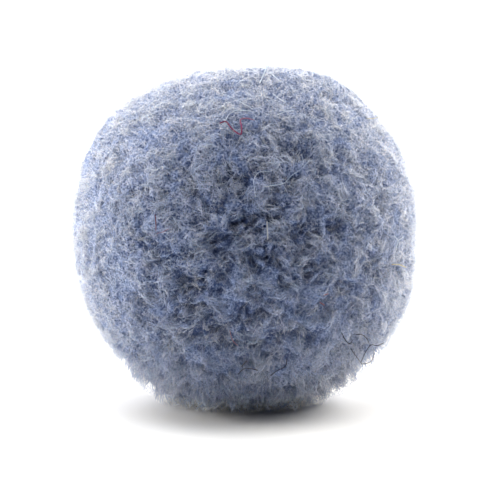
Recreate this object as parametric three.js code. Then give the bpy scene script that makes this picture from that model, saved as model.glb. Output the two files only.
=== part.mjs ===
// Plush pom-pom: a trimmed ball of cut yarn ends, tied tight at its middle, resting on a table.
// The pile is one solid: flared locks that stand apart and are fused at their roots round the tie.
// Millimetres, +Z up, the table is z = 0 and the front of the ball faces -Y.
import * as THREE from "three";
import { ConvexHull } from "three/addons/math/ConvexHull.js";
import { mergeVertices } from "three/addons/utils/BufferGeometryUtils.js";

// Driving sizes of the ball
const BALL_WIDTH = 29.8; // X and Y, before the bulges
const BALL_HEIGHT = 30.6; // Z, before the floor shortens the pile below
const CENTRE_HEIGHT = 14.7; // from the table up to the tie
const SQUARENESS = 2.1; // exponent of the outline: 2 is a true ellipsoid, more is boxier

// Driving sizes of the locks
const LATTICE_POINTS = 262; // where the clefts between the locks meet, a little under one a lock
const SPREAD_STRAY = 0.26; // share of their spacing that those points stray by
const SEAM_SHUFFLE = 1.2; // how freely the lattice's triangles pair up
const RELAX_PASSES = 2; // rounds of evening out the lattice
const TIED_RADIUS = 6.5; // where the strands are packed solid round the tie
const LOCK_GAP = 0.45; // between neighbouring locks
const TIP_LEAN = 0.3; // share of a lock's half width that its tip leans by
const LEAN_POWER = 6; // how much of the lean is left to a lock's end
const TRIM_JITTER = 0.022; // share of a lock's length that the scissors leave uneven
const SEED = 11;

// Sections of a lock: how far out they lie from root to tip, and how full they are
const LOCK_SECTIONS = [
  { name: "root", along: 0, fullness: 0.94 },
  { name: "belly", along: 0.72, fullness: 0.98 },
  { name: "shoulder", along: 0.9, fullness: 0.78 },
  { name: "tip", along: 1, fullness: 0.26 },
];

// Bulges of the trimmed outline. Azimuth runs from +X (right) over +Y (back); degrees and millimetres
const BULGES = [
  { place: "upper right", azimuth: 0, elevation: 42, lift: 0.95, spread: 30 },
  { place: "lower right", azimuth: 0, elevation: -30, lift: 1.05, spread: 20 },
  { place: "upper left", azimuth: 180, elevation: 55, lift: 0.2, spread: 24 },
  { place: "lower left", azimuth: 180, elevation: -48, lift: 0.1, spread: 24 },
  { place: "front left", azimuth: 235, elevation: 12, lift: 0.45, spread: 26 },
  { place: "front right", azimuth: 300, elevation: -12, lift: 0.3, spread: 22 },
  { place: "back left", azimuth: 130, elevation: -15, lift: 0.6, spread: 28 },
  { place: "back right", azimuth: 60, elevation: 25, lift: 0.5, spread: 24 },
];

const WOOL_COLOUR = 0x73819f;

// A unit vector from an azimuth and an elevation in degrees.
function bearing(azimuth, elevation) {
  const polar = THREE.MathUtils.degToRad(90 - elevation);
  const turn = THREE.MathUtils.degToRad(azimuth);
  return new THREE.Vector3(
    Math.sin(polar) * Math.cos(turn),
    Math.sin(polar) * Math.sin(turn),
    Math.cos(polar),
  );
}

// Distance from the tie to the trimmed outline, without the floor.
function outlineReach(direction) {
  const halves = [BALL_WIDTH / 2, BALL_WIDTH / 2, BALL_HEIGHT / 2];
  const sum = direction
    .toArray()
    .reduce((total, part, axis) => total + Math.abs(part / halves[axis]) ** SQUARENESS, 0);
  return BULGES.reduce((reach, { azimuth, elevation, lift, spread }) => {
    const off = direction.angleTo(bearing(azimuth, elevation));
    const share = off / THREE.MathUtils.degToRad(spread);
    return reach + lift * Math.exp(-share * share);
  }, sum ** (-1 / SQUARENESS));
}

// Distance from the tie straight out to the table, or Infinity for a lock that points up.
function floorReach(direction) {
  return direction.z < 0 ? CENTRE_HEIGHT / -direction.z : Infinity;
}

// A seeded random vector with each part from -size to size.
function strayVector(size) {
  const parts = [0, 1, 2].map(() => size * (2 * THREE.MathUtils.seededRandom() - 1));
  return new THREE.Vector3(...parts);
}

// Directions spread over a ball, on a spiral from pole to pole, each moved a little off its place.
function spreadDirections(count) {
  const goldenTurn = Math.PI * (3 - Math.sqrt(5));
  const stray = SPREAD_STRAY * Math.sqrt((4 * Math.PI) / count);
  return Array.from({ length: count }, (_, i) => {
    const height = 1 - (2 * i + 1) / count;
    const round = Math.sqrt(1 - height * height);
    const turn = goldenTurn * i;
    const even = new THREE.Vector3(Math.cos(turn) * round, Math.sin(turn) * round, height);
    return even.add(strayVector(stray)).normalize();
  });
}

// Half-edges of a hull, one for each pair of faces that meet, the longest first with some shuffle.
function seams(hull) {
  const order = new Map(hull.faces.map((face, i) => [face, i]));
  const edges = hull.faces.flatMap((face) => [0, 1, 2].map((side) => face.getEdge(side)));
  const ranked = edges
    .filter((edge) => order.get(edge.face) < order.get(edge.twin.face))
    .map((edge) => {
      const span = edge.head().point.distanceTo(edge.tail().point);
      return { edge, rank: span * (1 + SEAM_SHUFFLE * THREE.MathUtils.seededRandom()) };
    });
  return ranked.sort((one, other) => other.rank - one.rank).map(({ edge }) => edge);
}

// Corner directions of the locks, and the numbers of the three or four round each lock:
// the triangles of a hull over the ball, joined two by two where both are still single.
function lockLattice() {
  const corners = spreadDirections(LATTICE_POINTS);
  const numbers = new Map(corners.map((corner, i) => [corner, i]));
  const hull = new ConvexHull().setFromPoints(corners);
  const joined = new Set();
  const rims = [];
  for (const edge of seams(hull)) {
    if (joined.has(edge.face) || joined.has(edge.twin.face)) continue;
    joined.add(edge.face).add(edge.twin.face);
    rims.push([edge.next.head(), edge.tail(), edge.twin.next.head(), edge.head()]);
  }
  const single = hull.faces.filter((face) => !joined.has(face));
  rims.push(...single.map((face) => [0, 1, 2].map((side) => face.getEdge(side).head())));
  const cells = rims.map((rim) => rim.map(({ point }) => numbers.get(point)));
  return { corners: relaxed(corners, cells), cells };
}

// The corners after each has moved, a few times over, to the middle of the corners round it.
function relaxed(corners, cells) {
  let places = corners;
  for (let pass = 0; pass < RELAX_PASSES; pass++) {
    const sums = places.map(() => new THREE.Vector3());
    for (const cell of cells) {
      for (const i of cell) cell.forEach((j) => sums[i].add(places[j]));
    }
    places = sums.map((sum) => sum.normalize());
  }
  return places;
}

// Area of a lock's cell on the unit ball, from its corners in order.
function cellArea(around) {
  const turned = around.map((corner, i) => corner.clone().cross(around[(i + 1) % around.length]));
  return turned.reduce((sum, part) => sum.add(part), new THREE.Vector3()).length() / 2;
}

// The points of one section of a lock. Only its end leans, so that the flanks stay apart.
function lockSection(lock, section) {
  const reachHere = THREE.MathUtils.lerp(TIED_RADIUS, outlineReach(lock.axis), section.along);
  const parted = 1 - LOCK_GAP / (lock.width * reachHere);
  const sway = lock.lean.clone().multiplyScalar(section.along ** LEAN_POWER);
  return lock.around.map((corner) => {
    const direction = lock.axis.clone().lerp(corner, section.fullness * parted).add(sway).normalize();
    const tip = Math.min(outlineReach(direction) * lock.trim, floorReach(direction));
    return direction.multiplyScalar(THREE.MathUtils.lerp(TIED_RADIUS, tip, section.along));
  });
}

// One lock's rings of points, from its rim on the tied middle to its cut tip.
function lockRings(around) {
  const axis = around.reduce((sum, corner) => sum.add(corner), new THREE.Vector3()).normalize();
  const width = Math.sqrt(cellArea(around));
  const lean = strayVector((TIP_LEAN * width) / 2);
  const trim = 1 + TRIM_JITTER * (2 * THREE.MathUtils.seededRandom() - 1);
  const lock = { around, axis, width, lean, trim };
  const rim = around.map((corner) => corner.clone().multiplyScalar(TIED_RADIUS));
  return [rim, ...LOCK_SECTIONS.map((section) => lockSection(lock, section))];
}

// Triangles of a closed-ended tube over rings of points, numbered on from its first point.
function tubeFaces(rings, first) {
  const sides = rings[0].length;
  const faces = [];
  for (let ring = 0; ring + 1 < rings.length; ring++) {
    for (let side = 0; side < sides; side++) {
      const low = first + ring * sides + side;
      const next = first + ring * sides + ((side + 1) % sides);
      faces.push(low, next, next + sides, low, next + sides, low + sides);
    }
  }
  const tip = first + (rings.length - 1) * sides;
  for (let side = 1; side + 1 < sides; side++) faces.push(tip, tip + side, tip + side + 1);
  return faces;
}

// The whole pile: the locks share their rims, so together they close the tied middle.
function pileGeometry() {
  const { corners, cells } = lockLattice();
  const points = [];
  const faces = [];
  for (const cell of cells) {
    const rings = lockRings(cell.map((i) => corners[i]));
    faces.push(...tubeFaces(rings, points.length));
    points.push(...rings.flat());
  }
  const geometry = new THREE.BufferGeometry().setFromPoints(points).setIndex(faces);
  geometry.translate(0, 0, CENTRE_HEIGHT);
  return mergeVertices(geometry);
}

THREE.MathUtils.seededRandom(SEED);
const pile = new THREE.Mesh(
  pileGeometry(),
  new THREE.MeshStandardMaterial({ color: WOOL_COLOUR, roughness: 0.95, metalness: 0, flatShading: true }),
);
pile.name = "pompom_pile";

// The origin lies under the middle of the ball's box, on the table.
pile.geometry.computeBoundingBox();
const middle = pile.geometry.boundingBox.getCenter(new THREE.Vector3());
pile.position.set(-middle.x, -middle.y, 0);

const pompom = new THREE.Group();
pompom.add(pile);

export default pompom;
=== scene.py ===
"""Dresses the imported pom-pom: a soft ball of fine crimped fibre that stands on a pale table.

Metres, +Z up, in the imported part's own frame. The photograph looks along +Y.
"""

import logging
import math
from dataclasses import dataclass, field
from enum import Enum

import bmesh
import bpy
import numpy as np
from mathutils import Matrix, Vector, noise

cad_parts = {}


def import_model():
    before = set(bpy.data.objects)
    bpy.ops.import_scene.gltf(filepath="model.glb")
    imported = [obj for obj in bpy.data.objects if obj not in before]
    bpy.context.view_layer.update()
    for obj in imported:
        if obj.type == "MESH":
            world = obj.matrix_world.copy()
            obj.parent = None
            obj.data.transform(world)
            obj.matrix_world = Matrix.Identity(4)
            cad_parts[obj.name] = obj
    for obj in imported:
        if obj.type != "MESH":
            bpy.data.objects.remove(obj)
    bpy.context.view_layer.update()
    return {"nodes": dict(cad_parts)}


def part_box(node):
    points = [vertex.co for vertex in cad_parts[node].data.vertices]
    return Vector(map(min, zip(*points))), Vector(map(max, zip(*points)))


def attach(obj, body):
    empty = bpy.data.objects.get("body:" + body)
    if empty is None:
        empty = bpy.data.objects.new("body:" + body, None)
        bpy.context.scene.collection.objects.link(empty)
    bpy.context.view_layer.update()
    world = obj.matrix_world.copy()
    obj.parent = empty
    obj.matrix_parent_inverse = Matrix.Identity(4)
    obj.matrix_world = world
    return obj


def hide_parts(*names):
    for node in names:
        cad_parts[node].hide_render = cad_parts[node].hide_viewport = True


LOG = logging.getLogger("pompom")

MM = 0.001
PILE_NODE = "pompom_pile"
BODY = "root"
PALETTE_MAP = "OFBake"
CLEFT_VALUE = "cleft"

RIGHT = (1.0, 0.0, 0.0)
UP = (0.0, 0.0, 1.0)
STEEP = 0.8  # height of a unit vector past which it counts as upright
HALFWAY = 0.5
TONE_RANGE = (0.02, 0.98)  # part of the palette map that tones may use

Colour = tuple[float, float, float]
Way = tuple[float, float, float]
Span = tuple[float, float]
Pixel = tuple[float, float]


def unit(vectors: np.ndarray) -> np.ndarray:
    """Scales vectors, held in the last axis, to length 1."""
    return vectors / np.linalg.norm(vectors, axis=-1, keepdims=True)


def bearing(azimuth_deg: float, elevation_deg: float) -> np.ndarray:
    """Gives the unit vector of a bearing, with its azimuth from +X (right) over +Y (back)."""
    turn, lift = math.radians(azimuth_deg), math.radians(elevation_deg)
    return np.array((math.cos(lift) * math.cos(turn), math.cos(lift) * math.sin(turn), math.sin(lift)))


def degrees_from(directions: np.ndarray, way: np.ndarray) -> np.ndarray:
    """Measures the angles in degrees between some directions and one way."""
    return np.degrees(np.arccos((directions @ way).clip(-1, 1)))


def spacing_of(count: int) -> float:
    """Gives the mean spacing, in radians, of a number of places on a ball."""
    return math.sqrt(4 * math.pi / count)


def spread_directions(count: int, stray: float, rng: np.random.Generator) -> np.ndarray:
    """Spreads unit vectors evenly over a ball, on a spiral, each a little off its place.

    Args:
        count: how many vectors to make.
        stray: how far each strays, as a share of the mean spacing.
        rng: seeded source of chance.

    Returns:
        An array of count unit vectors.
    """
    step = np.arange(count)
    height = 1 - (2 * step + 1) / count
    golden_turn = step * math.pi * (3 - math.sqrt(5))
    ring = np.sqrt(1 - height**2)
    even = np.stack([np.cos(golden_turn) * ring, np.sin(golden_turn) * ring, height], axis=1)
    return unit(even + rng.normal(0, stray * spacing_of(count), even.shape))


def tangents_of(directions: np.ndarray) -> tuple[np.ndarray, np.ndarray]:
    """Gives two unit vectors that stand square to each direction and to each other."""
    first = unit(np.cross(np.where(np.abs(directions[:, 2:3]) < STEEP, UP, RIGHT), directions))
    return first, np.cross(directions, first)


def patchiness(places: np.ndarray) -> np.ndarray:
    """Gives smooth noise from about -1 to 1 at some places, one unit from patch to patch."""
    return np.array([noise.noise(Vector(place)) for place in places])


def settled(paths: np.ndarray, clearance: float) -> np.ndarray:
    """Lays the places of fibres that would reach below the table on it, with some clearance."""
    return np.maximum(paths, (-np.inf, -np.inf, clearance))


def new_material(name: str) -> tuple[bpy.types.Material, bpy.types.Node]:
    """Starts a node material.

    Args:
        name: the finish's name.

    Returns:
        The material and its shader.
    """
    made = bpy.data.materials.new(name)
    made.use_nodes = True
    return made, made.node_tree.nodes["Principled BSDF"]


def set_values(node: bpy.types.Node, values: dict[str, float | tuple[float, ...]]) -> None:
    """Sets values on a node's own sockets, by the sockets' names."""
    for socket, value in values.items():
        node.inputs[socket].default_value = value


def colour_ramp(nodes: bpy.types.Nodes, stops: list[tuple[float, Colour]]) -> bpy.types.Node:
    """Adds a colour ramp.

    Args:
        nodes: the tree's nodes.
        stops: places from 0 to 1 with their colours, in order.

    Returns:
        The new node.
    """
    made = nodes.new("ShaderNodeValToRGB")
    elements = made.color_ramp.elements
    while len(elements) < len(stops):
        elements.new(HALFWAY)
    for element, (place, colour) in zip(elements, stops):
        element.position = place
        element.color = (*colour, 1.0)
    return made


def link_piece(name: str, mesh: bpy.types.Mesh, material: bpy.types.Material) -> bpy.types.Object:
    """Puts a finished mesh in the scene as a piece of wool that rides on the part's body.

    Args:
        name: the piece's name.
        mesh: its mesh, in the part's frame.
        material: its finish.

    Returns:
        The new object.
    """
    mesh.materials.append(material)
    piece = bpy.data.objects.new(name, mesh)
    bpy.context.scene.collection.objects.link(piece)
    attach(piece, BODY)
    return piece


@dataclass(frozen=True)
class FibreFinish:
    """Matt finish of a dyed fibre, paler at its cut tip, with painted shade that darkens it towards its
    root. Colours are linear.

    The palette map holds a fibre's tone along U and the way from root to tip along V; the tone carries
    painted shade and painted rim light as well as the fibre's own tone. The colour from root to tip is
    multiplied by the tone's colour, from the darkest to the palest.
    """

    name: str
    # Colour at the root, darkened as painted shade for the depth of the pile.
    root: Colour
    body: Colour
    tip: Colour
    body_at: float = 0.55
    darkest: Colour = (0.24, 0.295, 0.43)
    middling: Colour = (0.755, 0.83, 0.975)
    # The palest tones are reached mostly at the sides, where painted rim light lifts the tone.
    palest: Colour = (0.96, 0.86, 0.69)
    middling_at: float = 0.8
    root_roughness: float = 1.0
    tip_roughness: float = 0.78
    gloss: float = 0.06
    glow: float = 1.0
    glow_depth: float = 0.4 * MM
    glow_reach: Colour = (1.1, 1.05, 1.0)
    sheen: float = 0.05
    sheen_roughness: float = 0.5
    sheen_tint: Colour = (0.75, 0.84, 1.0)

    def material(self) -> bpy.types.Material:
        """Builds the finish's node material.

        Returns:
            The new material.
        """
        made, shader = new_material(self.name)
        nodes = made.node_tree.nodes
        link = made.node_tree.links.new
        palette = nodes.new("ShaderNodeUVMap")
        palette.uv_map = PALETTE_MAP
        parts = nodes.new("ShaderNodeSeparateXYZ")
        link(palette.outputs["UV"], parts.inputs[0])
        tones = [(0.0, self.darkest), (self.middling_at, self.middling), (1.0, self.palest)]
        tone = colour_ramp(nodes, tones)
        link(parts.outputs["X"], tone.inputs["Fac"])
        along = colour_ramp(nodes, [(0.0, self.root), (self.body_at, self.body), (1.0, self.tip)])
        link(parts.outputs["Y"], along.inputs["Fac"])
        dyed = nodes.new("ShaderNodeVectorMath")
        dyed.operation = "MULTIPLY"
        link(along.outputs["Color"], dyed.inputs[0])
        link(tone.outputs["Color"], dyed.inputs[1])
        link(dyed.outputs["Vector"], shader.inputs["Base Color"])
        dull = nodes.new("ShaderNodeMapRange")
        set_values(dull, {"To Min": self.root_roughness, "To Max": self.tip_roughness})
        link(parts.outputs["Y"], dull.inputs["Value"])
        link(dull.outputs["Result"], shader.inputs["Roughness"])
        values = {
            "Specular IOR Level": self.gloss,
            "Subsurface Weight": self.glow,
            "Subsurface Radius": self.glow_reach,
            "Subsurface Scale": self.glow_depth,
            "Sheen Weight": self.sheen,
            "Sheen Roughness": self.sheen_roughness,
            "Sheen Tint": (*self.sheen_tint, 1.0),
        }
        set_values(shader, values)
        return made


class Ply(Enum):
    """The plies of the mixed yarn, each with a shade of its own."""

    SLATE = FibreFinish("slate_fibre", (0.102, 0.134, 0.238), (0.218, 0.29, 0.474), (0.325, 0.42, 0.665))
    BLUE = FibreFinish("blue_fibre", (0.098, 0.13, 0.242), (0.206, 0.283, 0.483), (0.311, 0.41, 0.67))
    LILAC = FibreFinish("lilac_fibre", (0.114, 0.13, 0.237), (0.248, 0.287, 0.474), (0.354, 0.42, 0.665))
    ASH = FibreFinish("ash_fibre", (0.107, 0.142, 0.23), (0.23, 0.313, 0.462), (0.335, 0.445, 0.65))


@dataclass(frozen=True)
class MiddleFinish:
    """Dark, matted finish of the fibre packed round the tie, with painted shade in the clefts. Colours are
    linear.
    """

    name: str = "packed_fibre"
    deep: Colour = (0.054, 0.08, 0.175)
    fair: Colour = (0.215, 0.275, 0.435)
    deep_at: float = 0.35
    fair_at: float = 0.65
    # Painted shade: how far the colour is pushed towards the deep one in the clefts.
    painted_shade_in_clefts: float = 0.18
    mat_scale: float = 5200.0
    mat_detail: float = 4.0
    mat_strength: float = 0.6
    mat_height: float = 0.2 * MM
    roughness: float = 0.95
    gloss: float = 0.1
    glow: float = 1.0
    glow_depth: float = 0.5 * MM
    glow_reach: Colour = (0.9, 0.95, 1.0)

    def material(self) -> bpy.types.Material:
        """Builds the finish's node material.

        Returns:
            The new material.
        """
        made, shader = new_material(self.name)
        nodes = made.node_tree.nodes
        link = made.node_tree.links.new
        where = nodes.new("ShaderNodeTexCoord")
        matted = nodes.new("ShaderNodeTexNoise")
        set_values(matted, {"Scale": self.mat_scale, "Detail": self.mat_detail})
        link(where.outputs["Object"], matted.inputs["Vector"])
        # Painted shade: the cleft value darkens the colour in the clefts.
        parted = nodes.new("ShaderNodeAttribute")
        parted.attribute_name = CLEFT_VALUE
        sunk = nodes.new("ShaderNodeMath")
        sunk.operation = "MULTIPLY_ADD"
        sunk.inputs[1].default_value = -self.painted_shade_in_clefts
        link(parted.outputs["Fac"], sunk.inputs[0])
        link(matted.outputs["Fac"], sunk.inputs[2])
        shade = colour_ramp(nodes, [(self.deep_at, self.deep), (self.fair_at, self.fair)])
        link(sunk.outputs[0], shade.inputs["Fac"])
        link(shade.outputs["Color"], shader.inputs["Base Color"])
        bump = nodes.new("ShaderNodeBump")
        set_values(bump, {"Strength": self.mat_strength, "Distance": self.mat_height})
        link(matted.outputs["Fac"], bump.inputs["Height"])
        link(bump.outputs["Normal"], shader.inputs["Normal"])
        values = {
            "Roughness": self.roughness,
            "Specular IOR Level": self.gloss,
            "Subsurface Weight": self.glow,
            "Subsurface Radius": self.glow_reach,
            "Subsurface Scale": self.glow_depth,
        }
        set_values(shader, values)
        return made


@dataclass
class TrimmedBall:
    """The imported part's outline, read from its solid: where its locks end, seen from the tie.

    A corner of the solid is a lock's tip where none much farther out lies within the search angle.
    """

    solid: bpy.types.Object
    outer_share: float = 0.6
    search_deg: float = 10.0
    apart_deg: float = 6.5
    tip_share: float = 0.965
    ease_deg: float = 8.0
    merge_digits: int = 7
    least_drop: float = 1e-6
    tie: np.ndarray = field(init=False)
    crowns: np.ndarray = field(init=False)
    reaches: np.ndarray = field(init=False)

    def __post_init__(self) -> None:
        """Finds the tie at the middle of the solid's box, and the locks' tips."""
        low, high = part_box(PILE_NODE)
        self.tie = np.array((low + high) / 2)
        ways, lengths = self.outer_corners()
        close = ways @ ways.T > math.cos(math.radians(self.search_deg))
        tips = lengths > self.tip_share * np.where(close, lengths, 0).max(axis=1)
        ways, lengths = ways[tips], lengths[tips]
        kept: list[int] = []
        for i in np.argsort(-lengths):
            if not kept or (ways[kept] @ ways[i]).max() < math.cos(math.radians(self.apart_deg)):
                kept.append(int(i))
        self.crowns = ways[kept]
        self.reaches = lengths[kept]

    def outer_corners(self) -> tuple[np.ndarray, np.ndarray]:
        """Finds the solid's corners that lie well outside its packed middle.

        Returns:
            The corners' unit vectors from the tie, and their distances in metres.
        """
        places = np.empty(len(self.solid.data.vertices) * 3, np.float32)
        self.solid.data.vertices.foreach_get("co", places)
        rays = np.unique(places.reshape(-1, 3).round(self.merge_digits), axis=0) - self.tie
        lengths = np.linalg.norm(rays, axis=1)
        outer = lengths > self.outer_share * lengths.max()
        return rays[outer] / lengths[outer][:, None], lengths[outer]

    def reach(self, directions: np.ndarray) -> np.ndarray:
        """Measures the distance from the tie to the trimmed outline, eased from lock to lock."""
        weights = np.exp((directions @ self.crowns.T - 1) / math.radians(self.ease_deg) ** 2)
        return weights @ self.reaches / weights.sum(axis=1)

    def table_reach(self, directions: np.ndarray) -> np.ndarray:
        """Measures the distance from the tie to the table, without end for directions that point up."""
        drop = -directions[:, 2]
        return np.where(drop > 0, self.tie[2] / np.maximum(drop, self.least_drop), np.inf)


@dataclass
class NeedleBundle:
    """Fibres as closed three-sided needles, each from a capped root to a point.

    paths holds fibres x points x 3 places, root first, thickness the needles' half width at each
    point, along the way from root (0) to tip (1) of each point, and tones each fibre's tone.
    """

    paths: np.ndarray
    thickness: np.ndarray
    along: np.ndarray
    tones: np.ndarray
    sides: int = 3
    tone_width: float = 0.003
    cap_height: float = 0.01

    def corners(self) -> np.ndarray:
        """Places the needles' corners: a ring at each point but the last, then the tip.

        Returns:
            An array of fibres x corners x 3.
        """
        onward = unit(np.gradient(self.paths, axis=1))
        helper, _ = tangents_of(unit(self.paths[:, -1] - self.paths[:, 0]))
        side = unit(np.cross(onward, np.broadcast_to(helper[:, None], onward.shape)))
        other = np.cross(onward, side)
        turn = 2 * math.pi * np.arange(self.sides) / self.sides
        rim = (
            side[:, :-1, None] * np.cos(turn)[:, None]
            + other[:, :-1, None] * np.sin(turn)[:, None]
        )
        rings = self.paths[:, :-1, None] + rim * self.thickness[:, :-1, None, None]
        flat = rings.reshape(len(rings), -1, 3)
        return np.concatenate([flat, self.paths[:, -1:]], axis=1)

    def faces(self) -> list[list[int]]:
        """Numbers the corners of one needle's faces: its sides, its point and its root's cap.

        Returns:
            The corner numbers of each face, with the cap last.
        """
        rings, sides = self.paths.shape[1] - 1, self.sides
        pairs = [(side, (side + 1) % sides) for side in range(sides)]
        walls = [
            [low * sides + a, low * sides + b, (low + 1) * sides + b, (low + 1) * sides + a]
            for low in range(rings - 1)
            for a, b in pairs
        ]
        last = (rings - 1) * sides
        point = [[last + a, last + b, rings * sides] for a, b in pairs]
        return [*walls, *point, list(range(sides))[::-1]]

    def mesh(self, name: str) -> bpy.types.Mesh:
        """Joins the needles in one mesh with its palette map.

        Args:
            name: the mesh's name.

        Returns:
            The new mesh.
        """
        corners = self.corners()
        count, each, _ = corners.shape
        faces = self.faces()
        loops = np.concatenate(faces)
        starts = np.cumsum([0, *(len(face) for face in faces[:-1])])
        needle = np.arange(count)[:, None]
        corner_of_loop = loops + needle * each
        first_loop = starts + needle * len(loops)
        made = bpy.data.meshes.new(name)
        made.vertices.add(count * each)
        made.vertices.foreach_set("co", corners.astype(np.float32).ravel())
        made.loops.add(count * len(loops))
        made.loops.foreach_set("vertex_index", corner_of_loop.astype(np.int32).ravel())
        made.polygons.add(count * len(faces))
        made.polygons.foreach_set("loop_start", first_loop.astype(np.int32).ravel())
        made.polygons.foreach_set("use_smooth", np.ones(count * len(faces), bool))
        made.update(calc_edges=True)
        made.uv_layers.new(name=PALETTE_MAP, do_init=False)
        made.uv_layers[PALETTE_MAP].uv.foreach_set("vector", self.palette(loops).ravel())
        made.validate()
        return made

    def palette(self, loops: np.ndarray) -> np.ndarray:
        """Places the needles on the palette map: a fibre's tone across, the way to its tip upwards.

        Args:
            loops: corner numbers of one needle's faces, in order.

        Returns:
            An array of fibres x loops x 2.
        """
        way = np.concatenate([np.repeat(self.along[:-1], self.sides), self.along[-1:]])
        width = np.concatenate([np.tile(np.linspace(-1, 1, self.sides), len(self.along) - 1), [0.0]])
        level = way[loops]
        level[-self.sides + 1] += self.cap_height
        upward = np.broadcast_to(level, (len(self.tones), len(loops)))
        across = self.tones[:, None] + self.tone_width * width[loops]
        return np.stack([across, upward], axis=-1).astype(np.float32)


@dataclass(frozen=True)
class FluffedBulge:
    """A place where the pile stands prouder than its trimmed locks, or lies lower."""

    place: str
    azimuth_deg: float
    elevation_deg: float
    lift: float
    spread_deg: float

    def rise(self, directions: np.ndarray) -> np.ndarray:
        """Measures how much the bulge lifts the pile in some directions."""
        aside = degrees_from(directions, bearing(self.azimuth_deg, self.elevation_deg))
        return self.lift * np.exp(-((aside / self.spread_deg) ** 2))


@dataclass
class TuftedSurface:
    """The ball's trimmed surface: small tufts, each with its own height and tone, and clefts between.

    The pile has opened into tufts at the front, less so at the back and low at the front, and is
    closest at the sides. Values named hanging or foot are for the pile near the table.
    """

    ball: TrimmedBall
    seed: int = 5

    # Tufts, the sway of their borders, and the clefts between them
    count: int = 2500
    stray: float = 0.45
    warp: float = 0.5
    warp_scale: float = 620.0
    warp_shifts: tuple[float, float, float] = (0.0, 31.7, 67.3)
    trim: float = 0.12 * MM
    cleft_depth: float = 0.7 * MM
    cleft_width: float = 0.42
    cleft_most: float = 1.3
    cleft_power: float = 2.5
    rows_at_once: int = 2000

    # Height over the trimmed locks: bulges, then by height on the ball, then near the foot
    bulges: tuple[FluffedBulge, ...] = (
        FluffedBulge("right shoulder", 0, 62, 0.65 * MM, 16),
        FluffedBulge("left shoulder", 180, 44, 0.55 * MM, 22),
        FluffedBulge("right cheek", 0, 24, 0.2 * MM, 14),
        FluffedBulge("lower left", 180, -26, -0.3 * MM, 16),
    )
    lift_at: Span = (-0.5, 0.25)
    lift: Span = (0.15 * MM, 0.5 * MM)
    foot_at: tuple[float, ...] = (0.66, 0.84, 0.92, 0.97)
    foot_front: tuple[float, ...] = (0.0, 0.25 * MM, 0.1 * MM, -0.3 * MM)
    foot_back: tuple[float, ...] = (0.0, 0.4 * MM, 0.75 * MM, 0.75 * MM)
    foot_turn: Span = (0.0, 0.2)
    hanging: Span = (0.3, 0.8)

    # Where the pile has opened, and how far
    front: Way = (0.08, -0.99, -0.1)
    opened_deg: Span = (20.0, 62.0)
    close_pile: float = 0.24
    back_opened: float = 0.55
    back_at: Span = (0.15, 0.85)
    foot_opened: float = 0.7
    foot_opened_at: Span = (-0.3, 0.3)

    # Tones of single tufts and of patches of them, and painted shade on the pile low at the right front
    tone: float = 0.11
    patch_tone: float = 0.27
    patch_scale: float = 330.0
    # Painted shade: the pile's tone is lowered towards its low right front.
    painted_shade_side: Way = (0.55, -0.4, -0.73)
    painted_shade_at: Span = (0.0, 0.8)
    painted_shade_tone: float = 0.29

    tufts: np.ndarray = field(init=False)
    trims: np.ndarray = field(init=False)
    openness: np.ndarray = field(init=False)
    headings: np.ndarray = field(init=False)
    turns: np.ndarray = field(init=False)
    tones: np.ndarray = field(init=False)
    spacing: float = field(init=False)
    radius: float = field(init=False)

    def __post_init__(self) -> None:
        """Lays out the tufts."""
        rng = np.random.default_rng(self.seed)
        self.radius = self.ball.reaches.mean()
        self.spacing = spacing_of(self.count)
        self.tufts = spread_directions(self.count, self.stray, rng)
        self.trims = rng.normal(0, self.trim, self.count)
        self.openness = self.cleft_most * rng.uniform(0, 1, self.count) ** self.cleft_power
        self.headings = rng.uniform(-math.pi, math.pi, self.count)
        self.turns = rng.normal(0, 1, self.count)
        patches = patchiness(self.tufts * self.radius * self.patch_scale)
        self.tones = rng.normal(0, self.tone, self.count) + self.patch_tone * patches

    def hang(self, directions: np.ndarray) -> np.ndarray:
        """Tells how freely the pile hangs: 0 on most of the ball, 1 near its foot."""
        return np.interp(-directions[:, 2], self.hanging, (0, 1))

    def painted_shade(self, directions: np.ndarray) -> np.ndarray:
        """Tells how much painted shade darkens the pile: most low at the right front, not at all above."""
        return self.painted_shade_tone * np.interp(directions @ np.array(self.painted_shade_side), self.painted_shade_at, (0, 1))

    def opened(self, directions: np.ndarray) -> np.ndarray:
        """Tells how far the pile has opened into tufts.

        Args:
            directions: unit vectors.

        Returns:
            For each direction a share: 1 at the front of the ball, less at its back and low at its
            front, least at its sides.
        """
        aside = degrees_from(directions, np.array(self.front))
        before = np.interp(aside, self.opened_deg, (1, self.close_pile))
        behind = self.back_opened * np.interp(directions[:, 1], self.back_at, (0, 1))
        ahead = np.interp(-directions[:, 1], self.foot_opened_at, (0, 1))
        below = self.foot_opened * self.hang(directions) * ahead
        return np.maximum(np.maximum(before, behind), below)

    def eased(self, directions: np.ndarray, close: float) -> np.ndarray:
        """Gives a factor that is 1 where the pile has opened most and another where it is closest."""
        return np.interp(self.opened(directions), (self.close_pile, 1), (close, 1))

    def top(self, directions: np.ndarray) -> np.ndarray:
        """Measures the distance from the tie to the pile's top, without its foot and its tufts."""
        reach = self.ball.reach(directions) + np.interp(directions[:, 2], self.lift_at, self.lift)
        return sum((bulge.rise(directions) for bulge in self.bulges), reach)

    def foot(self, directions: np.ndarray) -> np.ndarray:
        """Measures how much fuller the pile is near the table, or lower where it is pressed.

        Args:
            directions: unit vectors.

        Returns:
            One height in metres for each direction.
        """
        ahead = np.interp(-directions[:, 1], self.foot_turn, (0, 1))
        front = np.interp(-directions[:, 2], self.foot_at, self.foot_front) * ahead
        return front + np.interp(-directions[:, 2], self.foot_at, self.foot_back) * (1 - ahead)

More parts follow.
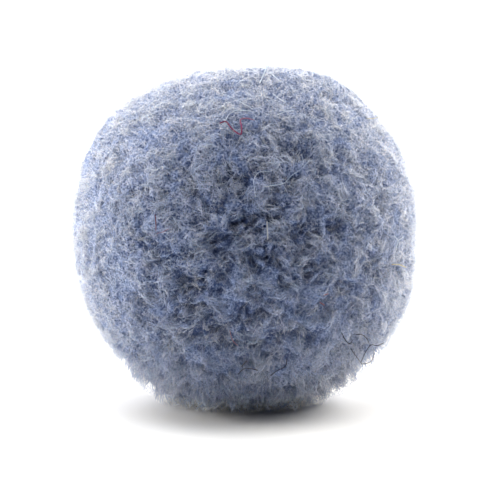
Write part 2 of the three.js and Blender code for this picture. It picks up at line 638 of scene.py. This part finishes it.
    def nearest_tufts(self, ways: np.ndarray) -> tuple[np.ndarray, np.ndarray]:
        """Finds the tufts that some ways belong to.

        Args:
            ways: unit vectors.

        Returns:
            For each way the number of its tuft, and how far it lies in a cleft between that tuft
            and the next.
        """
        close = ways @ self.tufts.T
        rows = np.arange(len(ways))
        first = close.argmax(axis=1)
        near = np.arccos(close[rows, first].clip(-1, 1))
        close[rows, first] = -1
        second = close.argmax(axis=1)
        far = np.arccos(close[rows, second].clip(-1, 1))
        edge = (far - near) / self.spacing
        cleft = np.exp(-((edge / self.cleft_width) ** 2))
        return first, cleft * (self.openness[first] + self.openness[second])

    def relief(self, directions: np.ndarray) -> tuple[np.ndarray, np.ndarray, np.ndarray]:
        """Finds the tufts and clefts in some directions.

        Args:
            directions: unit vectors.

        Returns:
            For each direction the number of its tuft, how far it lies in a cleft from 0 to about 1,
            and the distance from the tie to the surface in metres.
        """
        places = directions * self.radius * self.warp_scale
        sway = np.stack([patchiness(places + shift) for shift in self.warp_shifts], axis=-1)
        swayed = unit(directions + self.warp * self.spacing * sway)
        chunks = np.array_split(swayed, len(places) // self.rows_at_once + 1)
        tufts, clefts = zip(*(self.nearest_tufts(chunk) for chunk in chunks))
        tuft = np.concatenate(tufts)
        opened = self.opened(directions)
        cleft = np.concatenate(clefts) * opened
        top = self.top(directions) + self.foot(directions) + self.trims[tuft] * opened
        surface = np.minimum(top - self.cleft_depth * cleft, self.ball.table_reach(directions))
        return tuft, cleft, surface


@dataclass
class PackedMiddle:
    """The dense inside of the pile, where the fibres lie too close to tell apart."""

    surface: TuftedSurface
    finish: MiddleFinish = MiddleFinish()
    name: str = "packed_middle"
    inset: float = 0.68 * MM
    hanging_inset: float = 1.5
    close_inset: float = 0.5
    lump: float = 0.18 * MM
    lump_scale: float = 1600.0
    floor_gap: float = 0.25 * MM
    detail: int = 7

    def build(self) -> bpy.types.Object:
        """Makes the middle as a lumpy ball that follows the tufts.

        Returns:
            The new piece.
        """
        form = bmesh.new()
        bmesh.ops.create_icosphere(form, subdivisions=self.detail, radius=1.0)
        ways = unit(np.array([vert.co for vert in form.verts]))
        _, clefts, reaches = self.surface.relief(ways)
        insets = self.inset * (1 + self.hanging_inset * self.surface.hang(ways))
        insets = insets * self.surface.eased(ways, self.close_inset)
        tie = Vector(self.surface.ball.tie)
        for vert, way, reach, inset in zip(form.verts, ways, reaches, insets):
            ray = Vector(way)
            lump = self.lump * noise.noise(ray * reach * self.lump_scale)
            vert.co = tie + ray * (reach - inset + lump)
            vert.co.z = max(vert.co.z, self.floor_gap)
        for face in form.faces:
            face.smooth = True
        mesh = bpy.data.meshes.new(self.name)
        form.to_mesh(mesh)
        form.free()
        # The cleft value, which the finish turns into painted shade.
        parted = mesh.attributes.new(CLEFT_VALUE, "FLOAT", "POINT")
        parted.data.foreach_set("value", clefts.astype(np.float32))
        return link_piece(self.name, mesh, self.finish.material())


@dataclass
class CutFibres:
    """The fibres of one ply, an entry for each in every array.

    lock is the number of its lock, way the unit vector from the tie to where it grows, tuft the
    number of its tuft and reach the distance to the surface there. hang tells how freely it hangs,
    heading and turn which way it is combed and how it curls, length how long it is beside the usual
    one, and under how far down its lock lies among the others, from 0 to 1.
    """

    lock: np.ndarray
    way: np.ndarray
    tuft: np.ndarray
    reach: np.ndarray
    hang: np.ndarray
    heading: np.ndarray
    turn: np.ndarray
    length: np.ndarray
    under: np.ndarray


@dataclass
class FibrePile:
    """The cut fibre ends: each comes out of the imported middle, bends over and curls along the surface.

    Each tuft is combed its own way, and on the lower half of the ball the fibres fall downwards.
    Values named close hold where the pile is closest, and those named hanging near the table.
    """

    surface: TuftedSurface
    seed: int = 8

    # Where the locks grow, and how their fibres spread
    locks_a_ply: int = 2180
    fibres_a_lock: int = 5
    choice: int = 2
    root_stray: float = 0.6
    patch_scale: float = 420.0
    patch_shift: float = 100.0
    patch_stray: float = 0.2
    lock_spread: float = 0.09 * MM
    close_spread: float = 2.6

    # Course of a fibre at its points from root to tip
    along: tuple[float, ...] = (0.0, 0.36, 0.70, 1.0)
    taper: tuple[float, ...] = (1.0, 1.0, 0.85, 0.0)
    depth: tuple[float, ...] = (0.8 * MM, 0.30 * MM, 0.06 * MM, 0.10 * MM)
    travel: tuple[float, ...] = (0.0, 0.35 * MM, 0.50 * MM, 0.53 * MM)
    lengths: Span = (0.6, 1.4)
    hanging_travel: float = 0.8
    depth_stray: float = 0.12 * MM
    layer: float = 0.45 * MM
    close_depth: float = 0.6
    hanging_depth: float = 2.2
    half_width: float = 0.026 * MM
    widths: Span = (0.75, 1.2)
    close_width: float = 0.7

    # How the fibres are combed and curl, in radians, and how far they lean to their tuft's middle
    fall_at: Span = (0.0, 0.6)
    fall: float = 0.75
    heading_lock: float = 0.5
    heading_stray: float = 0.3
    wander: float = 0.25
    turn: float = 1.5
    turn_lock: float = 0.6
    turn_stray: float = 0.3
    turn_a_point: float = 0.5
    tuft_pull: float = 0.42
    hanging_pull: float = 0.72

    # Tones
    tone: float = 0.565
    # Painted rim light: how much the tone is lifted where the pile is closest, at the ball's sides.
    painted_rim_light: float = 1.6
    close_tone: float = 0.35
    tone_lock: float = 0.045
    tone_fibre: float = 0.02
    # Painted shade: how much darker fibres are in clefts.
    painted_cleft_shade: float = 0.38
    # Painted shade: locks lying lower among the others are darker, those on top paler.
    painted_layer_shade: float = 0.14

    def lock_ways(self, rng: np.random.Generator) -> np.ndarray:
        """Chooses where the locks of one ply grow: all over, but more of them in patches.

        Args:
            rng: seeded source of chance.

        Returns:
            Unit vectors from the tie, one for each lock.
        """
        ways = spread_directions(self.choice * self.locks_a_ply, self.root_stray, rng)
        shift = rng.uniform(-self.patch_shift, self.patch_shift, 3)
        liking = patchiness(ways * self.surface.radius * self.patch_scale + shift)
        liking = liking + rng.normal(0, self.patch_stray, len(ways))
        return ways[np.argsort(liking)[-self.locks_a_ply :]]

    def combed(
        self, way: np.ndarray, tuft: np.ndarray, lock: np.ndarray, rng: np.random.Generator
    ) -> tuple[np.ndarray, np.ndarray]:
        """Combs the fibres tuft by tuft, and downwards on the lower half of the ball.

        Args:
            way: unit vectors to where the fibres grow.
            tuft: the numbers of their tufts.
            lock: the numbers of their locks.
            rng: seeded source of chance.

        Returns:
            For each fibre its heading and its turn, in radians.
        """
        first, second = tangents_of(way)
        fall = np.interp(-way[:, 2], self.fall_at, (0, self.fall))
        drop = way * way[:, 2:] - np.array(UP)
        heading = np.arctan2((drop * second).sum(axis=1), (drop * first).sum(axis=1))
        heading = heading + (1 - fall) * self.surface.headings[tuft]
        heading = heading + rng.normal(0, self.heading_lock, self.locks_a_ply)[lock]
        heading = heading + rng.normal(0, self.heading_stray, len(lock))
        turn = self.turn * self.surface.turns[tuft]
        turn = turn + rng.normal(0, self.turn_lock, self.locks_a_ply)[lock]
        turn = (1 - fall) * turn + rng.normal(0, self.turn_stray, len(lock))
        return heading, turn

    def grown(self, rng: np.random.Generator) -> CutFibres:
        """Grows the fibres of one ply, in small locks that curl together.

        Args:
            rng: seeded source of chance.

        Returns:
            The fibres, not laid yet.
        """
        lock = np.repeat(np.arange(self.locks_a_ply), self.fibres_a_lock)
        way = self.lock_ways(rng)[lock]
        spread = self.lock_spread / self.surface.radius * self.surface.eased(way, self.close_spread)
        way = unit(way + rng.normal(0, 1, way.shape) * spread[:, None])
        tuft, _, reach = self.surface.relief(way)
        hang = self.surface.hang(way)
        heading, turn = self.combed(way, tuft, lock, rng)
        length = rng.uniform(*self.lengths, len(lock))
        length = length * np.interp(hang, (0, 1), (1, self.hanging_travel))
        under = rng.random(self.locks_a_ply)[lock]
        return CutFibres(lock, way, tuft, reach, hang, heading, turn, length, under)

    def laid(self, fibres: CutFibres, rng: np.random.Generator) -> tuple[np.ndarray, np.ndarray]:
        """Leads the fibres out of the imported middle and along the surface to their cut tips.

        Args:
            fibres: the fibres of one ply.
            rng: seeded source of chance.

        Returns:
            An array of fibres x points x 3 places, and how far each fibre lies in clefts.
        """
        first, second = tangents_of(fibres.way)
        pull = np.interp(fibres.hang, (0, 1), (self.tuft_pull, self.hanging_pull))
        inward = (self.surface.tufts[fibres.tuft] - fibres.way) * pull[:, None]
        deepen = np.interp(fibres.hang, (0, 1), (1, self.hanging_depth))
        deepen = deepen * self.surface.eased(fibres.way, self.close_depth)
        count = len(fibres.lock)
        heading = fibres.heading
        aside = np.zeros((count, 3))
        points, clefts = [], []
        for along, depth, travel in zip(self.along, self.depth, self.travel):
            step = (travel * fibres.length / fibres.reach)[:, None]
            aside = aside + step * (first * np.cos(heading)[:, None] + second * np.sin(heading)[:, None])
            heading = heading + self.turn_a_point * fibres.turn + rng.normal(0, self.wander, count)
            way = unit(fibres.way + inward * along + aside)
            _, cleft, here = self.surface.relief(way)
            sunk = (self.layer * fibres.under + depth) * deepen + rng.normal(0, self.depth_stray, count)
            points.append(way * (here - sunk)[:, None])
            clefts.append(cleft)
        return np.stack(points, axis=1) + self.surface.ball.tie, np.mean(clefts, axis=0)

    def toned(self, fibres: CutFibres, cleft: np.ndarray, rng: np.random.Generator) -> np.ndarray:
        """Chooses the fibres' tones: by tuft and lock, with painted shade by layer, in clefts and low at the
        right front, and painted rim light at the sides.

        Args:
            fibres: the fibres of one ply.
            cleft: how far each lies in clefts.
            rng: seeded source of chance.

        Returns:
            A tone for each fibre.
        """
        way = fibres.way
        tones = self.surface.tones[fibres.tuft] + rng.normal(0, self.tone_fibre, len(way))
        tones = tones + rng.normal(0, self.tone_lock, self.locks_a_ply)[fibres.lock]
        # Painted shade: locks lying lower among the others are darker.
        tones = tones - self.painted_layer_shade * (fibres.under - HALFWAY)
        # Painted shade: fibres in clefts are darker.
        tones = tones * self.surface.eased(way, self.close_tone) - self.painted_cleft_shade * cleft
        # Tone is lifted at the sides as painted rim light, and lowered low at the right front as painted
        # shade.
        tones = tones + self.tone * self.surface.eased(way, self.painted_rim_light) - self.surface.painted_shade(way)
        return tones.clip(*TONE_RANGE)

    def bundle(self, rng: np.random.Generator) -> NeedleBundle:
        """Makes the fibres of one ply.

        Args:
            rng: seeded source of chance.

        Returns:
            The fibres as needles.
        """
        fibres = self.grown(rng)
        paths, cleft = self.laid(fibres, rng)
        width = self.half_width * self.surface.eased(fibres.way, self.close_width)
        width = width * rng.uniform(*self.widths, len(width))
        thickness = width[:, None] * np.array(self.taper)
        tones = self.toned(fibres, cleft, rng)
        return NeedleBundle(settled(paths, self.half_width), thickness, np.array(self.along), tones)

    def build(self) -> list[bpy.types.Object]:
        """Makes one piece for each ply.

        Returns:
            The new pieces.
        """
        pieces = []
        for number, ply in enumerate(Ply):
            rng = np.random.default_rng((self.seed, number))
            name = f"pile_{ply.name.lower()}_ply"
            mesh = self.bundle(rng).mesh(name)
            pieces.append(link_piece(name, mesh, ply.value.material()))
        return pieces


@dataclass
class FlyawayFuzz:
    """Very fine pale fibre ends that stand up out of the pile and soften its outline.

    More of them stand, and higher, where the pile is closest.
    """

    surface: TuftedSurface
    finish: FibreFinish = FibreFinish(
        name="fuzz_fibre",
        root=(0.16, 0.205, 0.33),
        body=(0.42, 0.47, 0.57),
        tip=(0.67, 0.70, 0.74),
        darkest=(0.36, 0.42, 0.62),
        middling=(0.69, 0.72, 0.80),
        middling_at=0.6,
        palest=(1.0, 0.935, 0.80),
    )
    name: str = "flyaway_fuzz"
    seed: int = 21
    count: int = 49900
    choice: float = 1.4
    stray: float = 0.6
    close_share: float = 2.2
    along: Span = (0.0, 1.0)
    taper: Span = (1.0, 0.0)
    half_width: float = 0.008 * MM
    widths: Span = (0.7, 1.2)
    height: Span = (0.05 * MM, 0.75 * MM)
    height_power: float = 1.5
    close_rise: float = 1.75
    foot_share: float = 0.22
    rooted: float = 0.25 * MM
    tilt: float = 0.6
    tone: float = 0.45
    tone_stray: float = 0.08
    # Painted rim light: how much the tone is lifted where the pile is closest, at the ball's sides.
    painted_rim_light: float = 1.8

    def ways(self, rng: np.random.Generator) -> np.ndarray:
        """Chooses where the ends stand.

        Args:
            rng: seeded source of chance.

        Returns:
            Unit vectors from the tie.
        """
        even = spread_directions(round(self.choice * self.count), self.stray, rng)
        chance = rng.random(len(even)) ** (1 / self.surface.eased(even, self.close_share))
        return even[np.argsort(chance)[-self.count :]]

    def bundle(self, rng: np.random.Generator) -> NeedleBundle:
        """Makes the ends, straight from root to tip.

        Args:
            rng: seeded source of chance.

        Returns:
            The ends as needles.
        """
        ways = self.ways(rng)
        _, _, reach = self.surface.relief(ways)
        first, second = tangents_of(ways)
        rise = np.interp(rng.random(self.count) ** self.height_power, (0, 1), self.height)
        rise = rise * np.interp(self.surface.hang(ways), (0, 1), (1, self.foot_share))
        rise = rise * self.surface.eased(ways, self.close_rise)
        sway = rng.normal(0, self.tilt, (self.count, 2, 1)) * (self.rooted + rise)[:, None, None]
        root = ways * (reach - self.rooted)[:, None]
        tip = ways * (reach + rise)[:, None] + first * sway[:, 0] + second * sway[:, 1]
        paths = np.stack([root, tip], axis=1) + self.surface.ball.tie
        width = self.half_width * rng.uniform(*self.widths, self.count)
        thickness = width[:, None] * np.array(self.taper)
        # Tone is lifted at the sides as painted rim light, and lowered low at the right front as painted
        # shade.
        tones = self.tone * self.surface.eased(ways, self.painted_rim_light)
        tones = tones + rng.normal(0, self.tone_stray, self.count) - self.surface.painted_shade(ways)
        tones = tones.clip(*TONE_RANGE)
        return NeedleBundle(settled(paths, self.half_width), thickness, np.array(self.along), tones)

    def build(self) -> bpy.types.Object:
        """Makes the fuzz as one piece."""
        mesh = self.bundle(np.random.default_rng(self.seed)).mesh(self.name)
        return link_piece(self.name, mesh, self.finish.material())


@dataclass(frozen=True)
class HairFinish(FibreFinish):
    """Finish of a loose hair, which lets little light through."""

    glow_depth: float = 0.02 * MM


class Lint(Enum):
    """Shades of the loose hairs that have caught in the pile."""

    RED = HairFinish("red_hair", (0.11, 0.03, 0.085), (0.165, 0.042, 0.115), (0.19, 0.085, 0.175))
    RUST = HairFinish("rust_hair", (0.15, 0.07, 0.11), (0.18, 0.09, 0.13), (0.24, 0.17, 0.26))
    WHITE = HairFinish("white_hair", (0.40, 0.52, 0.74), (0.47, 0.60, 0.82), (0.50, 0.63, 0.84))
    PALE = HairFinish("pale_hair", (0.22, 0.30, 0.48), (0.27, 0.365, 0.56), (0.31, 0.41, 0.60))
    BEIGE = HairFinish("beige_hair", (0.22, 0.265, 0.36), (0.28, 0.33, 0.43), (0.31, 0.36, 0.46))
    DARK = HairFinish(
        name="dark_hair",
        root=(0.015, 0.018, 0.03),
        body=(0.02, 0.022, 0.035),
        tip=(0.03, 0.03, 0.045),
        glow_depth=0.01 * MM,
    )
    STRAW = HairFinish("straw_hair", (0.26, 0.26, 0.18), (0.31, 0.31, 0.21), (0.34, 0.34, 0.25))


CLEAR = 0.22 * MM  # how far dark hairs lie clear of the pile, so that it doesn't hide them
SUNK = -0.14 * MM  # how the zigzag lies down in the pile


@dataclass(frozen=True)
class LooseHair:
    """One loose hair. Its course is in pixels of the photograph's frame, right and down from its corner."""

    place: str
    shade: Lint
    course: tuple[Pixel, ...]
    half_width: float = 0.03 * MM
    lift: float = 0.0


LOOSE_HAIRS = (
    LooseHair("bright zigzag at the top", Lint.RED, (
        (220, 124), (226, 122), (230, 127), (235, 132), (241, 135),
        (242, 127), (241, 120), (245, 119), (256, 121),
    ), 0.09 * MM, SUNK),
    LooseHair("curl over the zigzag", Lint.WHITE, (
        (226, 121), (229, 115), (236, 111), (245, 111), (254, 112),
    )),
    LooseHair("line over the curl", Lint.WHITE, ((240, 102), (254, 110))),
    LooseHair("wave left of the line", Lint.PALE, (
        (200, 102), (207, 103), (217, 98), (225, 95), (232, 98), (240, 102),
    )),
    LooseHair("straight one at the crown", Lint.WHITE, ((260, 83), (269, 62)), 0.05 * MM),
    LooseHair("its side branch", Lint.WHITE, ((269, 72), (281, 82))),
    LooseHair("arc right of the crown", Lint.WHITE, ((273, 94), (278, 98), (286, 103))),
    LooseHair("arc under it", Lint.WHITE, ((276, 116), (286, 112), (295, 111))),
    LooseHair("long curve", Lint.PALE, (
        (309, 162), (301, 170), (292, 176), (284, 184), (274, 186), (260, 188),
    )),
    LooseHair("hook beside the curve", Lint.PALE, (
        (280, 164), (276, 169), (269, 172), (259, 173), (254, 181), (255, 191), (256, 201),
    )),
    LooseHair("stub over the curve", Lint.PALE, ((302, 155), (303, 165), (300, 168))),
    LooseHair("stub at the middle", Lint.BEIGE, ((267, 222), (268, 241)), 0.08 * MM),
    LooseHair("stub at the left", Lint.RUST, ((155, 215), (156, 224), (156, 232)), 0.06 * MM),
    LooseHair("its tail", Lint.RUST, ((157, 234), (162, 233), (170, 229))),
    LooseHair("fleck at the right", Lint.RUST, ((320, 303), (325, 306)), 0.06 * MM),
    LooseHair("fleck over it", Lint.RUST, ((324, 296), (329, 294)), 0.06 * MM),
    LooseHair("thread low down", Lint.RUST, ((230, 331), (233, 341), (239, 347))),
    LooseHair("left strand near the foot", Lint.DARK, (
        (238, 375), (245, 369), (250, 369), (259, 371),
    ), 0.045 * MM, CLEAR),
    LooseHair("stub over it", Lint.DARK, ((242, 367), (247, 361)), 0.045 * MM, CLEAR),
    LooseHair("right strand near the foot", Lint.DARK, (
        (271, 376), (276, 372), (286, 366), (287, 357),
    ), 0.045 * MM, CLEAR),
    LooseHair("first curl at the lower right", Lint.DARK, (
        (356, 335), (362, 335), (367, 339), (370, 345),
    ), 0.032 * MM, CLEAR),
    LooseHair("loop at the lower right", Lint.DARK, (
        (384, 343), (377, 346), (371, 345), (367, 350), (363, 358), (361, 364),
        (364, 364), (371, 362), (374, 355), (374, 349), (372, 346),
    ), 0.036 * MM, CLEAR),
    LooseHair("strand into the loop", Lint.DARK, ((351, 349), (356, 356), (361, 363)), 0.032 * MM, CLEAR),
    LooseHair("hook left of the loop", Lint.DARK, (
        (342, 333), (346, 341), (349, 344), (354, 339),
    ), 0.04 * MM, CLEAR),
    LooseHair("wisp under the loop", Lint.DARK, ((376, 365), (373, 374), (370, 382)), 0.03 * MM, CLEAR),
    LooseHair("wisp at the right edge", Lint.STRAW, ((392, 265), (399, 265), (407, 268)), 0.05 * MM),
    LooseHair("fork over it", Lint.WHITE, ((394, 236), (398, 241), (397, 246), (396, 252))),
    LooseHair("the fork's branch", Lint.WHITE, ((398, 241), (404, 237))),
    LooseHair("wisp at the upper right edge", Lint.STRAW, ((367, 119), (376, 118), (383, 113))),
)


@dataclass
class PhotoCamera:
    """A camera at the photograph's place. Pixels are those of a 500 by 500 frame."""

    ball: TrimmedBall
    name: str = "photo_camera"
    elevation_deg: float = 10.0
    distance: float = 0.32
    frame_px: float = 500.0
    ball_px: Pixel = (244.0, 238.0)
    ball_width: float = 30.0 * MM
    ball_width_px: float = 336.0
    sensor_mm: float = 36.0
    clip: Span = (0.01, 10.0)
    metres_a_px: float = field(init=False)

    def __post_init__(self) -> None:
        """Works out the size of a pixel at the ball."""
        self.metres_a_px = self.ball_width / self.ball_width_px

    def axes(self) -> tuple[Vector, Vector, Vector]:
        """Gives the ways along the frame and out of it.

        Returns:
            Unit vectors to the right, upwards and back to the camera.
        """
        lift = math.radians(self.elevation_deg)
        above = Vector((0.0, math.sin(lift), math.cos(lift)))
        return Vector(RIGHT), above, Vector((0.0, -math.cos(lift), math.sin(lift)))

    def build(self) -> bpy.types.Object:
        """Makes the camera and hands it to the scene.

        Returns:
            The camera's object.
        """
        right, above, back = self.axes()
        middle = self.frame_px / 2
        off = (middle - self.ball_px[0]) * right - (middle - self.ball_px[1]) * above
        aim = Vector(self.ball.tie) + off * self.metres_a_px
        data = bpy.data.cameras.new(self.name)
        data.sensor_width = self.sensor_mm
        data.lens = data.sensor_width * self.distance / (self.frame_px * self.metres_a_px)
        data.clip_start, data.clip_end = self.clip
        camera = bpy.data.objects.new(self.name, data)
        camera.location = aim + back * self.distance
        camera.rotation_mode = "QUATERNION"
        camera.rotation_quaternion = (-back).to_track_quat("-Z", "Y")
        bpy.context.scene.collection.objects.link(camera)
        bpy.context.scene.camera = camera
        return camera


@dataclass
class CaughtLint:
    """The loose hairs, laid along the front of the pile where the photograph shows them."""

    surface: TuftedSurface
    camera: PhotoCamera
    hairs: tuple[LooseHair, ...] = LOOSE_HAIRS
    points: int = 22
    taper_at: tuple[float, ...] = (0.0, 0.85, 1.0)
    taper: tuple[float, ...] = (1.0, 1.0, 0.2)
    tone: float = 0.95
    raised: float = 0.06 * MM
    rounds: int = 6

    def smoothed(self, course: tuple[Pixel, ...]) -> np.ndarray:
        """Draws a smooth line through a course's bends.

        Args:
            course: the bends in order.

        Returns:
            Even points of the line.
        """
        bends = np.array(course, float)
        gone = np.concatenate([[0.0], np.cumsum(np.linalg.norm(np.diff(bends, axis=0), axis=1))])
        slopes = np.gradient(bends, gone, axis=0)
        at = np.linspace(0, gone[-1], self.points)
        i = np.clip(np.searchsorted(gone, at, side="right") - 1, 0, len(gone) - 2)
        span = (gone[i + 1] - gone[i])[:, None]
        t = (at - gone[i])[:, None] / span
        ends = (2 * t**3 - 3 * t**2 + 1) * bends[i] + (3 * t**2 - 2 * t**3) * bends[i + 1]
        return ends + span * ((t**3 - 2 * t**2 + t) * slopes[i] + (t**3 - t**2) * slopes[i + 1])

    def on_pile(self, hair: LooseHair) -> np.ndarray:
        """Lays a hair on the front of the pile, where it shows at its course's pixels.

        Args:
            hair: the hair.

        Returns:
            Places along it in the part's frame.
        """
        right, above, back = (np.array(axis) for axis in self.camera.axes())
        shown = (self.smoothed(hair.course) - self.camera.ball_px) * self.camera.metres_a_px
        flat = shown[:, :1] * right - shown[:, 1:] * above
        nearer = np.zeros((len(shown), 1))
        for _ in range(self.rounds):
            aside = flat * (1 - nearer / self.camera.distance)
            reach = self.surface.top(unit(aside + nearer * back))[:, None] + self.raised + hair.lift
            nearer = np.sqrt(np.maximum(reach**2 - (aside**2).sum(axis=1, keepdims=True), 0))
        return self.surface.ball.tie + aside + nearer * back

    def build(self) -> list[bpy.types.Object]:
        """Makes one piece for each shade.

        Returns:
            The new pieces.
        """
        along = np.linspace(0, 1, self.points)
        taper = np.interp(along, self.taper_at, self.taper)
        pieces = []
        for shade in Lint:
            hairs = [hair for hair in self.hairs if hair.shade is shade]
            paths = np.stack([self.on_pile(hair) for hair in hairs])
            thickness = np.array([hair.half_width for hair in hairs])[:, None] * taper
            tones = np.full(len(hairs), self.tone)
            name = f"{shade.name.lower()}_lint"
            mesh = NeedleBundle(paths, thickness, along, tones).mesh(name)
            pieces.append(link_piece(name, mesh, shade.value.material()))
            LOG.info("%s: %s", name, ", ".join(hair.place for hair in hairs))
        return pieces


@dataclass
class Table:
    """The plain pale table top."""

    name: str = "table"
    half_size: float = 1.5
    paint_name: str = "pale_table"
    colour: Colour = (0.885, 0.88, 0.87)
    roughness: float = 0.9
    gloss: float = 0.0

    def build(self) -> bpy.types.Object:
        """Makes the table top at the part's foot.

        Returns:
            The table's object, which isn't part of the pom-pom.
        """
        form = bmesh.new()
        bmesh.ops.create_grid(form, x_segments=1, y_segments=1, size=self.half_size)
        mesh = bpy.data.meshes.new(self.name)
        form.to_mesh(mesh)
        form.free()
        paint, shader = new_material(self.paint_name)
        values = {
            "Base Color": (*self.colour, 1.0),
            "Roughness": self.roughness,
            "Specular IOR Level": self.gloss,
        }
        set_values(shader, values)
        mesh.materials.append(paint)
        table = bpy.data.objects.new(self.name, mesh)
        bpy.context.scene.collection.objects.link(table)
        return table


class Light(Enum):
    """Shades of the panels' light."""

    WARM = (1.0, 0.965, 0.89)
    WHITE = (1.0, 0.975, 0.925)
    COOL = (0.93, 0.97, 1.03)


@dataclass(frozen=True)
class LightPanel:
    """One square white panel of the tent, lit from behind and facing the ball.

    Azimuth runs from +X (right) over +Y (back), and brightness is the panel's radiance.
    """

    name: str
    azimuth_deg: float
    elevation_deg: float
    brightness: float
    light: Light
    size: float = 0.42
    distance: float = 0.7

    def build(self, aim: Vector) -> bpy.types.Object:
        """Makes the panel as an area lamp.

        Args:
            aim: the point that it faces.

        Returns:
            The lamp's object.
        """
        way = Vector(bearing(self.azimuth_deg, self.elevation_deg))
        lamp = bpy.data.lights.new(self.name, "AREA")
        lamp.shape = "SQUARE"
        lamp.size = self.size
        lamp.energy = math.pi * self.size**2 * self.brightness
        lamp.color = self.light.value
        panel = bpy.data.objects.new(self.name, lamp)
        panel.location = aim + way * self.distance
        panel.rotation_mode = "QUATERNION"
        panel.rotation_quaternion = (-way).to_track_quat("-Z", "Y")
        bpy.context.scene.collection.objects.link(panel)
        return panel


@dataclass
class LightTent:
    """A white light tent: bright panels at its sides and behind the ball, dimmer ones above and in front."""

    name: str = "light_tent"
    world_strength: float = 0.0
    panels: tuple[LightPanel, ...] = (
        LightPanel("panel_left_low", 180, 12, 12.4, Light.WARM),
        LightPanel("panel_left_high", 180, 68, 3.4, Light.COOL),
        LightPanel("panel_back_left_low", 135, 12, 7.4, Light.WHITE),
        LightPanel("panel_back_left", 135, 40, 3.9, Light.WHITE),
        LightPanel("panel_back_low", 90, 12, 5.7, Light.WHITE),
        LightPanel("panel_back_high", 90, 68, 2.1, Light.COOL),
        LightPanel("panel_back_right_low", 45, 12, 9.3, Light.WHITE),
        LightPanel("panel_back_right", 45, 40, 6.2, Light.WHITE),
        LightPanel("panel_right", 0, 40, 4.5, Light.WHITE),
        LightPanel("panel_front_high", 270, 68, 3.0, Light.COOL),
    )

    def build(self, aim: Vector) -> list[bpy.types.Object]:
        """Makes the panels in a dark world.

        Args:
            aim: the point that the panels face.

        Returns:
            The panels' lamps.
        """
        world = bpy.data.worlds.new(self.name)
        bpy.context.scene.world = world
        world.use_nodes = True
        set_values(world.node_tree.nodes["Background"], {"Strength": self.world_strength})
        view = bpy.context.scene.view_settings
        view.view_transform = "Standard"
        view.look = "None"
        return [panel.build(aim) for panel in self.panels]


def main() -> None:
    """Builds the pom-pom's pieces, then its table, light and camera."""
    logging.basicConfig(level=logging.INFO, format="%(name)s: %(message)s")
    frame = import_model()
    ball = TrimmedBall(frame["nodes"][PILE_NODE])
    LOG.info("locks found: %d, reach %.2f to %.2f mm", len(ball.crowns), *(ball.reaches[[-1, 0]] / MM))
    surface = TuftedSurface(ball)
    LOG.info("bulges: %s", ", ".join(bulge.place for bulge in surface.bulges))
    pile = [PackedMiddle(surface).build(), *FibrePile(surface).build(), FlyawayFuzz(surface).build()]
    for piece in pile:
        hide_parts(PILE_NODE)
    camera = PhotoCamera(ball)
    lint = CaughtLint(surface, camera).build()
    table = Table().build()
    for piece in (*pile, *lint, table):
        LOG.info("%s: %d faces", piece.name, len(piece.data.polygons))
    lamps = LightTent().build(Vector(ball.tie))
    LOG.info("%d light panels and %s", len(lamps), camera.build().name)


if __name__ == "__main__":
    main()
